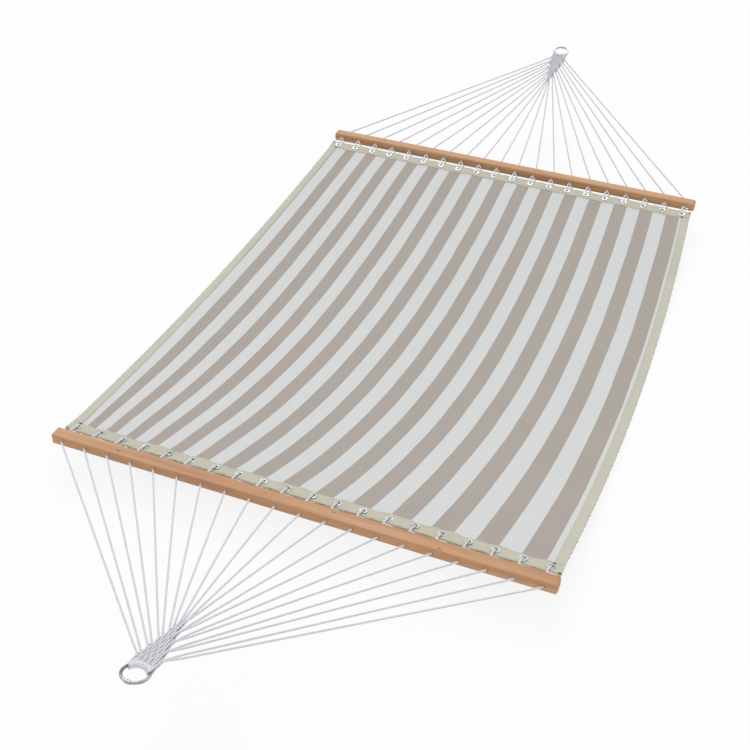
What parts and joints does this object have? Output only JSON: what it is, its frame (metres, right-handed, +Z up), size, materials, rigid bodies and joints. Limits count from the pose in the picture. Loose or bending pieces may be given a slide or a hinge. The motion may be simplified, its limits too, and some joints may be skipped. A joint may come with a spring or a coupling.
{
  "type": "hammock",
  "caption": "Two-person hammock: a striped cloth bed laced to wooden spreader bars, each slung by a fan of twisted cords woven into a clew on a steel ring.",
  "frame": {"origin": "on the floor under the middle of the bed, at the lowest point of its sag", "axes": "+X along the spreader bars, +Y from the middle towards the head ring, +Z up"},
  "size_m": [1.4, 3.4344, 0.2911],
  "materials": {
    "striped_cloth": "woven cloth in taupe and white stripes",
    "edging": "sage beige folded tape, stitched",
    "eyelet_metal": "bright pressed eyelets",
    "lacing": "white braided lacing cord",
    "wood": "oiled hardwood, orange brown",
    "rope": "off-white twisted cord",
    "ring_steel": "bright zinc-plated steel, welded"
  },
  "bodies": {
    "bed": {"bed_panel": "striped_cloth", "left_side_binding": "edging", "right_side_binding": "edging", "head_hem": "edging", "foot_hem": "edging", "head_eyelets": "eyelet_metal", "foot_eyelets": "eyelet_metal", "head_eyelet_washers": "eyelet_metal", "foot_eyelet_washers": "eyelet_metal", "head_lace": "lacing", "foot_lace": "lacing"},
    "head_bar": {"head_bar": "wood", "head_cord_eyes": "rope"},
    "head_harness": {"head_cord_01": "rope", "head_cord_02": "rope", "head_cord_03": "rope", "head_cord_04": "rope", "head_cord_05": "rope", "head_cord_06": "rope", "head_cord_07": "rope", "head_cord_08": "rope", "head_cord_09": "rope", "head_cord_10": "rope", "head_filling": "rope"},
    "head_loops": {"head_ring_loops": "rope"},
    "head_ring": {"head_ring": "ring_steel"},
    "foot_bar": {"foot_bar": "wood", "foot_cord_eyes": "rope"},
    "foot_harness": {"foot_cord_01": "rope", "foot_cord_02": "rope", "foot_cord_03": "rope", "foot_cord_04": "rope", "foot_cord_05": "rope", "foot_cord_06": "rope", "foot_cord_07": "rope", "foot_cord_08": "rope", "foot_cord_09": "rope", "foot_cord_10": "rope", "foot_filling": "rope"},
    "foot_loops": {"foot_ring_loops": "rope"},
    "foot_ring": {"foot_ring": "ring_steel"}
  },
  "joints": [
    {"name": "head_bar_roll", "type": "hinge", "parent": "bed", "child": "head_bar", "pos_m": [0, 0.944, 0.0933], "axis": [1, 0, 0], "range_deg": [-45, 90]},
    {"name": "head_harness_fold", "type": "hinge", "parent": "head_bar", "child": "head_harness", "pos_m": [0, 0.99115, 0.0933], "axis": [1, 0, 0], "range_deg": [-104.5, 74.5]},
    {"name": "head_ring_tilt", "type": "hinge", "parent": "head_harness", "child": "head_loops", "pos_m": [0, 1.64325, 0.26803], "axis": [1, 0, 0], "range_deg": [-58, 58]},
    {"name": "head_ring_turn", "type": "hinge", "parent": "head_loops", "child": "head_ring", "pos_m": [0, 1.68468, 0.27913], "axis": [0, -0.2588, 0.9659], "range_deg": [-95, 95]},
    {"name": "foot_bar_roll", "type": "hinge", "parent": "bed", "child": "foot_bar", "pos_m": [0, -0.944, 0.0933], "axis": [-1, 0, 0], "range_deg": [-45, 90]},
    {"name": "foot_harness_fold", "type": "hinge", "parent": "foot_bar", "child": "foot_harness", "pos_m": [0, -0.99115, 0.0933], "axis": [-1, 0, 0], "range_deg": [-104.5, 74.5]},
    {"name": "foot_ring_tilt", "type": "hinge", "parent": "foot_harness", "child": "foot_loops", "pos_m": [0, -1.64325, 0.26803], "axis": [-1, 0, 0], "range_deg": [-58, 58]},
    {"name": "foot_ring_turn", "type": "hinge", "parent": "foot_loops", "child": "foot_ring", "pos_m": [0, -1.68468, 0.27913], "axis": [0, 0.2588, 0.9659], "range_deg": [-95, 95]}
  ]
}
